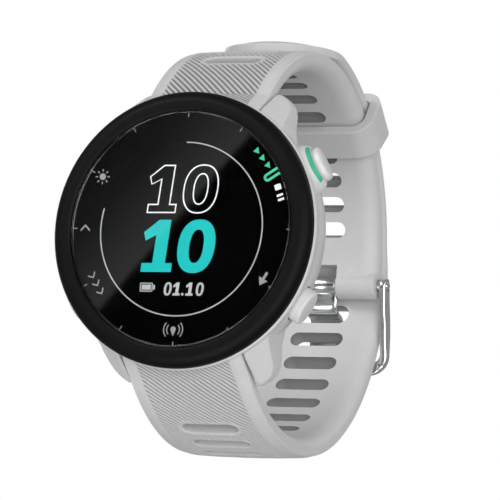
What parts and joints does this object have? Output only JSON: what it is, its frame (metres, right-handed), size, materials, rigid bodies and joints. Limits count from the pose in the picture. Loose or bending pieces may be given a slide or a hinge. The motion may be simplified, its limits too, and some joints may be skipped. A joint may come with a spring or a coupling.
{
  "type": "gps running watch",
  "caption": "Round sports watch with a dark bezel, side push buttons and a slotted silicone band buckled into its wrist loop.",
  "frame": {"origin": "middle of the sensor window's face, where the case back rests on the wrist", "axes": "+X towards three o'clock, +Y out of the case back into the wrist loop, so the dial faces -Y, and +Z towards twelve o'clock"},
  "size_m": [0.0434, 0.0628, 0.0644],
  "materials": {
    "shell": "satin moulded polymer, light warm grey",
    "silicone": "matte silicone, light warm grey",
    "bezel": "satin black polymer",
    "glass": "polished strengthened glass",
    "dial": "matte black printed ring",
    "display": "black display panel with light graphics",
    "steel": "polished stainless steel",
    "dark_plastic": "matte dark polymer",
    "board": "green circuit board",
    "foil": "pouch cell foil",
    "gold": "gold-plated metal",
    "seal": "black rubber seal",
    "window": "dark infrared-clear window",
    "accent": "green moulded inlay"
  },
  "bodies": {
    "watch": {"case_body": "shell", "back_cover": "shell", "bezel_ring": "bezel", "lens": "glass", "dial_ring": "dial", "display_panel": "display", "bezel_gasket": "seal", "back_gasket": "seal", "start_accent": "accent", "inner_frame": "dark_plastic", "charge_socket": "dark_plastic", "main_board": "board", "sensor_board": "board", "gps_antenna": "gold", "beeper": "gold", "battery": "foil", "vibration_motor": "steel", "sensor_window": "window", "charge_contact_1": "gold", "charge_contact_2": "gold", "charge_contact_3": "gold", "charge_contact_4": "gold", "case_screw_1": "steel", "case_screw_2": "steel", "case_screw_3": "steel", "case_screw_4": "steel", "switch_start": "dark_plastic", "switch_back": "dark_plastic", "switch_light": "dark_plastic", "switch_up": "dark_plastic", "switch_down": "dark_plastic", "short_strap": "silicone", "long_strap": "silicone", "spring_bar_top": "steel", "spring_bar_bottom": "steel"},
    "button_start": {"button_start": "shell"},
    "button_back": {"button_back": "shell"},
    "button_light": {"button_light": "shell"},
    "button_up": {"button_up": "shell"},
    "button_down": {"button_down": "shell"},
    "keeper": {"keeper_loop": "silicone"},
    "buckle": {"buckle_frame": "steel", "buckle_pin": "steel"},
    "tongue": {"buckle_tongue": "steel"},
    "release_top": {"release_pin_top": "steel"},
    "release_bottom": {"release_pin_bottom": "steel"}
  },
  "joints": [
    {"name": "press_start", "type": "slide", "parent": "watch", "child": "button_start", "axis": [-0.8788, 0, -0.4772], "range_m": [0, 0.0007], "stiffness_N_per_m": 1500, "springref_m": -0.0005},
    {"name": "press_back", "type": "slide", "parent": "watch", "child": "button_back", "axis": [-0.866, 0, 0.5], "range_m": [0, 0.0007], "stiffness_N_per_m": 1500, "springref_m": -0.0005},
    {"name": "press_light", "type": "slide", "parent": "watch", "child": "button_light", "axis": [0.866, 0, -0.5], "range_m": [0, 0.0007], "stiffness_N_per_m": 1500, "springref_m": -0.0005},
    {"name": "press_up", "type": "slide", "parent": "watch", "child": "button_up", "axis": [1, 0, 0], "range_m": [0, 0.0007], "stiffness_N_per_m": 1500, "springref_m": -0.0005},
    {"name": "press_down", "type": "slide", "parent": "watch", "child": "button_down", "axis": [0.866, 0, 0.5], "range_m": [0, 0.0007], "stiffness_N_per_m": 1500, "springref_m": -0.0005},
    {"name": "keeper_slide", "type": "hinge", "parent": "watch", "child": "keeper", "pos_m": [0, 0.01884, 0.00299], "axis": [1, 0, 0], "range_deg": [-30, 31]},
    {"name": "buckle_swing", "type": "hinge", "parent": "watch", "child": "buckle", "pos_m": [0, 0.04675, 0.0003], "axis": [1, 0, 0], "range_deg": [0, 8]},
    {"name": "tongue_swing", "type": "hinge", "parent": "buckle", "child": "tongue", "pos_m": [0, 0.04675, 0.0003], "axis": [1, 0, 0], "range_deg": [0, 5]},
    {"name": "release_top", "type": "slide", "parent": "watch", "child": "release_top", "axis": [-1, 0, 0], "range_m": [0, 0.0012], "stiffness_N_per_m": 1000, "springref_m": -0.001},
    {"name": "release_bottom", "type": "slide", "parent": "watch", "child": "release_bottom", "axis": [-1, 0, 0], "range_m": [0, 0.0012], "stiffness_N_per_m": 1000, "springref_m": -0.001}
  ]
}
